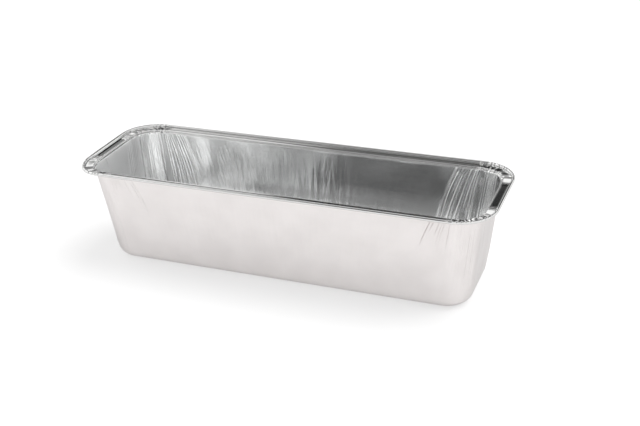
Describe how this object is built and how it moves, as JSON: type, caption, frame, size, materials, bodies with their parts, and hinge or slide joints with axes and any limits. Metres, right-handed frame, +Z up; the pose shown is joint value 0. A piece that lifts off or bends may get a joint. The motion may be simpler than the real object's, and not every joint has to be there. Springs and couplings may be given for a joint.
{
  "type": "foil grease cup liner",
  "caption": "Long rectangular aluminium foil tray with tapered smooth walls, rounded corners and a rolled-edge flange, used to line a grill's grease cup.",
  "frame": {"origin": "middle of the base's underside, which rests on z = 0", "axes": "+X along the length, +Y across the width, +Z up out of the open top"},
  "size_m": [0.29, 0.096, 0.0708],
  "materials": {
    "foil": "rolled aluminium foil, satin to bright, with fine drawing creases at the corners"
  },
  "bodies": {
    "root": {"foil_liner": "foil"}
  },
  "joints": []
}
